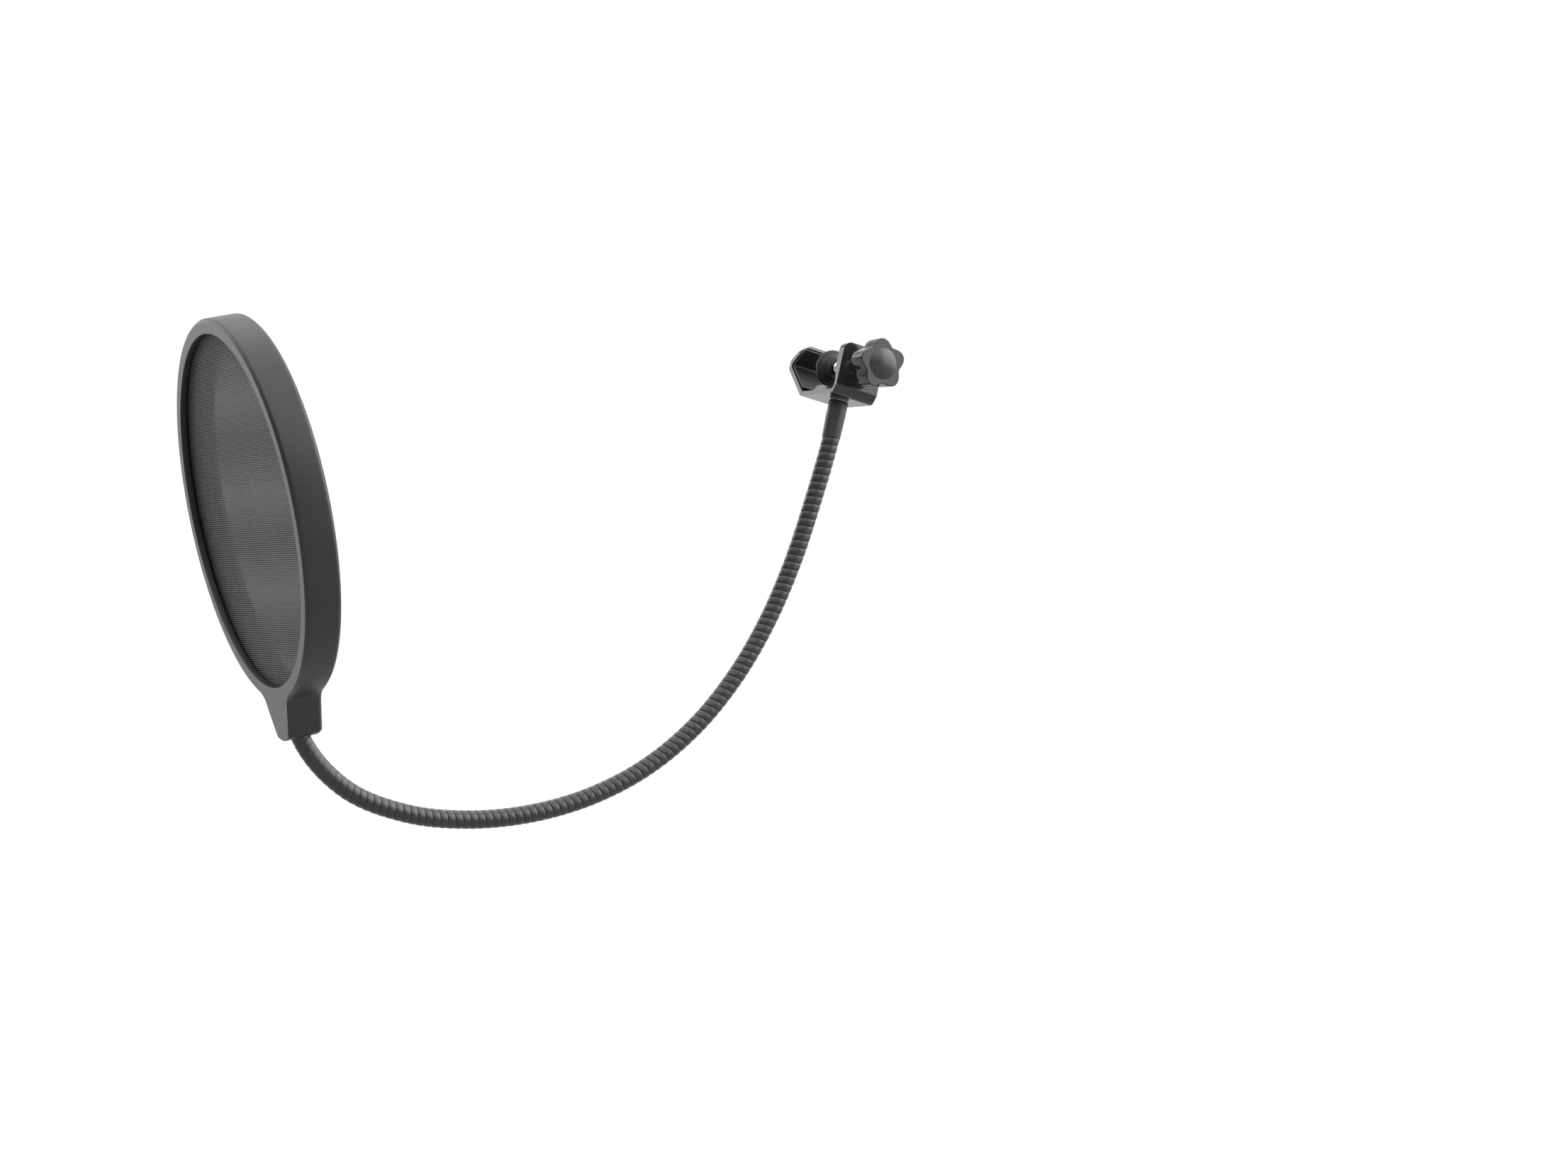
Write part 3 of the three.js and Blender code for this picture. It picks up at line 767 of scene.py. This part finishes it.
def route(at):
    """The gooseneck's centreline and direction. at counts bending points from 0, at the clamp."""
    first = min(int(math.floor(at)), LAST_JOINT)
    t = at - first
    p0, p1, p2, p3 = GUIDES[first + 1:first + 5]
    a, b, c = p2 - p0, 2 * p0 - 5 * p1 + 4 * p2 - p3, -p0 + 3 * p1 - 3 * p2 + p3
    point = 0.5 * (2 * p1 + a * t + b * t ** 2 + c * t ** 3)
    along = 0.5 * (a + 2 * b * t + 3 * c * t ** 2)
    return point, along / np.linalg.norm(along)


def smooth_step(x):
    """0 below 0, 1 above 1, and smooth between them."""
    x = min(max(x, 0), 1)
    return x * x * (3 - 2 * x)


def sleeve_radius(phase, at):
    """The sleeve's radius across one rib, from groove to groove. Ribs are shallower near the frame."""
    away_from_frame = smooth_step((LAST_JOINT - 0.5 - at) / 0.9)
    depth = RIB_DEPTH_AT_FRAME + (1 - RIB_DEPTH_AT_FRAME) * away_from_frame
    groove = max(0, 1 - min(phase, 1 - phase) / RIB_GROOVE_WIDTH)
    return NECK_RADIUS - depth * (RIB_BULGE * abs(2 * phase - 1) ** 2.5 + RIB_GROOVE * groove)


def neck_skin(number, first, end, sides=40):
    """One piece of the sleeve, across one joint, from one rib to another. Its rows of points climb
    with the helical ribs, so the last point of a row is the first point of the row one rib on."""
    side = np.array((0, 1, 0))
    rows = len(RIB_ROWS)
    ribs = end - first
    points, faces = [], []
    for k in range(ribs * rows + 1):
        phase = RIB_ROWS[k % rows]
        for j in range(sides + 1):
            at = (first + k // rows + phase + j / sides - 0.5) / RIBS_PER_STRETCH
            point, along = route(at)
            across = np.cross(along, side)
            angle = 2 * math.pi * j / sides
            outwards = math.cos(angle) * across - math.sin(angle) * side
            points.append(point + sleeve_radius(phase, at) * outwards)
    for k in range(ribs * rows):
        for j in range(sides):
            a, b = k * (sides + 1) + j, (k + 1) * (sides + 1) + j
            faces.append((a, a + 1, b + 1, b))
    place = Matrix.Identity(4)
    piece = place_mesh(f"sleeve_{number:02d}", points, faces, SLEEVE, place, sharp_angle=60)
    middle, along = route(number)
    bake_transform(piece)
    return piece


def gooseneck():
    """The sleeve's pieces, each curved across one joint. The first starts inside the ferrule, and
    the last ends inside the frame's stem."""
    ends = [round((n + 0.5) * RIBS_PER_STRETCH) for n in range(LAST_JOINT)]
    ends = [-RIBS_IN_FERRULE, *ends, round((LAST_JOINT + STRETCH_IN_STEM) * RIBS_PER_STRETCH)]
    for n in range(LAST_JOINT + 1):
        piece = neck_skin(n, ends[n], ends[n + 1])
        if n:
            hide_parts(f"gooseneck_sleeve_{n:02d}")


# ---- frame ----

def frame_outline():
    """The frame's outline with its stem, as (across, up) points in its own plane."""
    neck, tip = STEM_NECK, STEM_TIP
    fillet = [quadratic(STEM_SHOULDER, STEM_FILLET, neck, t) for t in np.linspace(0, 1, 9)]
    bottom = [quadratic(tip, (0, -2 * STEM_END - tip[1]), (-tip[0], tip[1]), t)
              for t in np.linspace(0, 1, 13)]
    sides = [(neck[0] + (tip[0] - neck[0]) * t, neck[1] + (tip[1] - neck[1]) * t)
             for t in (0.2, 0.4, 0.6, 0.8)]
    right = fillet + sides
    left = [(-x, y) for x, y in reversed(right)]
    start = math.atan2(STEM_SHOULDER[1], STEM_SHOULDER[0])
    arc = [(FRAME_RADIUS * math.cos(a), FRAME_RADIUS * math.sin(a))
           for a in np.linspace(math.pi - start, start, 220)[1:-1]]
    return left + arc + right + bottom


def quadratic(a, b, c, t):
    """A point of a quadratic curve."""
    return tuple((1 - t) ** 2 * a[i] + 2 * t * (1 - t) * b[i] + t * t * c[i] for i in (0, 1))


def outline_normals(outline):
    """The outward direction at each point of the frame's outline."""
    points = np.array(outline)
    along = np.roll(points, -1, axis=0) - np.roll(points, 1, axis=0)
    normals = np.stack((-along[:, 1], along[:, 0]), axis=1)
    normals /= np.linalg.norm(normals, axis=1)[:, None]
    return normals * np.sign((normals * points).sum(axis=1))[:, None]


def bevel_share(y):
    """The front bevel's share of its full size: all of it on the ring, and little on the stem."""
    share = smooth_step((y - STEM_BEVEL_LOW) / (STEM_BEVEL_HIGH - STEM_BEVEL_LOW))
    return STEM_BEVEL + (1 - STEM_BEVEL) * share


def shell(name, sections):
    """One shell of the frame. A section is (kind, size, depth): a distance inside the outline, the
    same for the front bevel, which shrinks on the stem, or a circle of a radius."""
    outline = np.array(frame_outline())
    normals = outline_normals(outline)
    outwards = outline / np.linalg.norm(outline, axis=1)[:, None]
    shares = np.array([bevel_share(y) for y in outline[:, 1]])
    rings = []
    for kind, size, depth in sections:
        depths = np.full(len(outline), depth)
        if kind == "circle":
            plane = outwards * size
        elif kind == "outline":
            plane = outline - normals * size
        else:
            plane = outline - normals * (size * shares)[:, None]
            depths = depth * shares
        rings.append([(d - FRAME_THICKNESS / 2, x, y) for d, (x, y) in zip(depths, plane)])
    return skin(name, rings, FRAME_PLASTIC, HEAD, loop=True)


def smooth_flat_faces(piece):
    """Gives the faces square to the frame's axis the smoother plastic."""
    axis = HEAD.to_3x3() @ Vector((1, 0, 0))
    piece.data.materials.append(SMOOTH_PLASTIC)
    for face in piece.data.polygons:
        if abs(face.normal.dot(axis)) > 0.9:
            face.material_index = 1


def front_shell():
    """The deep front half of the frame, with its lip and its stem."""
    bevel, soft = FRAME_BEVEL, BEVEL_EDGE
    sections = [
        ("circle", OPENING_RADIUS, LIP_THICKNESS), ("circle", OPENING_RADIUS, 0.35),
        ("circle", OPENING_RADIUS + 0.1, 0.1), ("circle", OPENING_RADIUS + 0.35, 0),
        ("circle", OPENING_RADIUS + 0.5, 0), ("bevel", bevel + 1.5 * soft, 0),
        ("bevel", bevel + soft, 0), ("bevel", bevel, 0.05), ("bevel", bevel - soft, 0.2),
        ("bevel", 0.2, bevel - soft), ("bevel", 0.05, bevel), ("bevel", 0, bevel + soft),
        ("outline", 0, SEAM_FRONT),
        ("circle", RECESS_RADIUS, SEAM_FRONT), ("circle", RECESS_RADIUS, LIP_THICKNESS),
    ]
    piece = shell("frame_front", sections)
    stem = Matrix.Rotation(-math.pi / 2, 4, "X")
    bore = bar_along_y("bore", circle(STEM_BORE_RADIUS), STEM_BORE_START, STEM_END + 3, HEAD @ stem)
    combine(piece, [bore])
    finish_mesh(piece.data, SHARP_ANGLE)
    smooth_flat_faces(piece)
    return stand_for(piece, "head", "black_plastic", "ring_front_shell")


def rear_shell():
    """The flat rear half of the frame."""
    bevel, soft, back = FRAME_BEVEL, BEVEL_EDGE, FRAME_THICKNESS
    sections = [
        ("circle", OPENING_RADIUS, SEAM_BACK), ("circle", OPENING_RADIUS, back - 0.35),
        ("circle", OPENING_RADIUS + 0.1, back - 0.1), ("circle", OPENING_RADIUS + 0.35, back),
        ("circle", OPENING_RADIUS + 0.5, back), ("outline", bevel + 1.5 * soft, back),
        ("outline", bevel + soft, back), ("outline", bevel, back - 0.05),
        ("outline", bevel - soft, back - 0.2), ("outline", 0.2, back - bevel + soft),
        ("outline", 0.05, back - bevel), ("outline", 0, back - bevel - soft),
        ("outline", 0, SEAM_BACK),
    ]
    piece = shell("frame_rear", sections)
    smooth_flat_faces(piece)
    return stand_for(piece, "head", "black_plastic", "ring_rear_shell")


def at_depth(depth):
    """The frame's own axes, moved to a depth from its front."""
    return HEAD @ Matrix.Translation((depth - FRAME_THICKNESS / 2, 0, 0))


def spacer():
    """The ring between the screens, turned about the frame's own axis."""
    corners = [(SPACER_BORE, 0), (SCREEN_RADIUS, 0),
               (SCREEN_RADIUS, SPACER_THICKNESS), (SPACER_BORE, SPACER_THICKNESS)]
    place = at_depth(SPACER_DEPTH) @ Matrix.Rotation(-math.pi / 2, 4, "Z")
    piece = turned("spacer", rounded(corners, 0.2, 3), SMOOTH_PLASTIC, place, sides=200)
    return stand_for(piece, "head", "black_plastic", "screen_spacer")


def screen(name, depth):
    """One screen: the stretched film, and the threads across it."""
    rim = [(0, x, y) for x, y in circle(SCREEN_RADIUS, 160)]
    film = place_mesh(name + "_film", rim, [tuple(range(len(rim)))], FILM, at_depth(depth))
    stand_for(film, "head", "black_nylon", name)
    points, faces = [], []
    rows = int(SCREEN_RADIUS / NYLON_PITCH)
    for row in range(-rows, rows + 1):
        z = row * NYLON_PITCH
        half = math.sqrt(max(SCREEN_RADIUS ** 2 - z * z, 0)) - NYLON_INSET
        if half > 1:
            add_thread(points, faces, z, half)
    threads = place_mesh(name + "_threads", points, faces, THREADS, at_depth(depth))
    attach(threads, "head")


def add_thread(points, faces, z, half):
    """Adds one thread of a six-sided section across the screen."""
    first = len(points)
    section = [(NYLON_THICKNESS / 2 * math.cos(a), NYLON_WIDTH / 2 * math.sin(a))
               for a in np.linspace(0, 2 * math.pi, 6, endpoint=False)]
    for y in (-half, half):
        points += [(x, y, z + rise) for x, rise in section]
    for j in range(6):
        k = (j + 1) % 6
        faces.append((first + j, first + k, first + 6 + k, first + 6 + j))
    faces += [tuple(range(first, first + 6)), tuple(range(first + 6, first + 12))]


def hidden_steel():
    """The gooseneck's core and the end sleeve in the stem keep their CAD shape, in spring steel."""
    for node, item in frame["nodes"].items():
        if node.startswith("gooseneck_spring") or node == "head_ferrule":
            item.data.materials.clear()
            item.data.materials.append(SPRING_STEEL)


# ---- stage, light and camera ----

def stage():
    """A plain pale floor, evenly white in the picture and clear from below. In what shiny pieces
    mirror it is a little brighter on the far side."""
    bpy.ops.mesh.primitive_plane_add(size=FLOOR_SIZE, location=(0, 0, FLOOR_Z))
    floor = bpy.context.object
    floor.name = "floor"
    material, tree, surface = shader("floor")
    place = tree.nodes.new("ShaderNodeTexCoord").outputs["Object"]
    tree.links.new(glow(tree, place, None, FLOOR_SHADE), surface.inputs["Base Color"])
    surface.inputs["Roughness"].default_value = 0.8
    seen = tree.nodes.new("ShaderNodeEmission")
    output = tree.nodes["Material Output"].inputs["Surface"]
    above = if_seen(tree, surface.outputs["BSDF"], seen.outputs["Emission"])
    side = tree.nodes.new("ShaderNodeNewGeometry")
    below = tree.nodes.new("ShaderNodeBsdfTransparent")
    one_sided = tree.nodes.new("ShaderNodeMixShader")
    tree.links.new(side.outputs["Backfacing"], one_sided.inputs["Fac"])
    tree.links.new(above, one_sided.inputs[1])
    tree.links.new(below.outputs["BSDF"], one_sided.inputs[2])
    tree.links.new(one_sided.outputs["Shader"], output)
    floor.data.materials.append(material)


def if_seen(tree, lighting, picture):
    """One shader for light that falls on the object, and another for what the picture shows."""
    ray = tree.nodes.new("ShaderNodeLightPath")
    choice = tree.nodes.new("ShaderNodeMixShader")
    tree.links.new(ray.outputs["Is Camera Ray"], choice.inputs["Fac"])
    tree.links.new(lighting, choice.inputs[1])
    tree.links.new(picture, choice.inputs[2])
    return choice.outputs["Shader"]


def glow(tree, direction, total, light):
    """Adds one soft light to a total strength, which starts dim."""
    towards, fades_out, full, strength = light
    facing = tree.nodes.new("ShaderNodeVectorMath")
    facing.operation = "DOT_PRODUCT"
    facing.inputs[1].default_value = Vector(towards).normalized()
    tree.links.new(direction, facing.inputs[0])
    spread = tree.nodes.new("ShaderNodeMapRange")
    spread.interpolation_type = "SMOOTHSTEP"
    spread.inputs["From Min"].default_value = fades_out
    spread.inputs["From Max"].default_value = full
    spread.inputs["To Max"].default_value = strength
    tree.links.new(facing.outputs["Value"], spread.inputs["Value"])
    plus = tree.nodes.new("ShaderNodeMath")
    tree.links.new(spread.outputs["Result"], plus.inputs[0])
    if total is None:
        plus.inputs[1].default_value = DIM
    else:
        tree.links.new(total, plus.inputs[1])
    return plus.outputs["Value"]


def world():
    """A plain white surround, with soft lights in fixed directions."""
    surround = bpy.data.worlds.new("surround")
    bpy.context.scene.world = surround
    surround.use_nodes = True
    tree = surround.node_tree
    seen = tree.nodes["Background"]
    seen.inputs["Color"].default_value = (1, 1, 1, 1)
    direction = tree.nodes.new("ShaderNodeTexCoord").outputs["Generated"]
    total = None
    for light in (BACKDROP, WINDOW, CEILING, LAMP):
        total = glow(tree, direction, total, light)
    lit = tree.nodes.new("ShaderNodeBackground")
    lit.inputs["Color"].default_value = (1, 1, 1, 1)
    tree.links.new(total, lit.inputs["Strength"])
    output = tree.nodes["World Output"].inputs["Surface"]
    tree.links.new(if_seen(tree, lit.outputs["Background"], seen.outputs["Background"]), output)


def camera():
    """The camera, level, at the real viewing angle."""
    data = bpy.data.cameras.new("camera")
    data.lens = CAMERA_LENS
    data.sensor_width = CAMERA_SENSOR
    viewer = bpy.data.objects.new("camera", data)
    viewer.location = CAMERA_PLACE
    viewer.rotation_euler = (math.pi / 2, 0, math.radians(CAMERA_TURN))
    bpy.context.scene.collection.objects.link(viewer)
    bpy.context.scene.camera = viewer


# ---- build ----

clamp_bracket()
jaw_liner()
base_stud()
base_washer()
base_ferrule()
foot_pad()
pressure_foot()
clamp_screw()
clamp_knob()
knob_cap()
gooseneck()
front_shell()
rear_shell()
spacer()
screen("front_screen", FRONT_SCREEN_DEPTH)
screen("rear_screen", REAR_SCREEN_DEPTH)
hidden_steel()

stage()
world()
camera()
bpy.context.scene.view_settings.view_transform = "Standard"
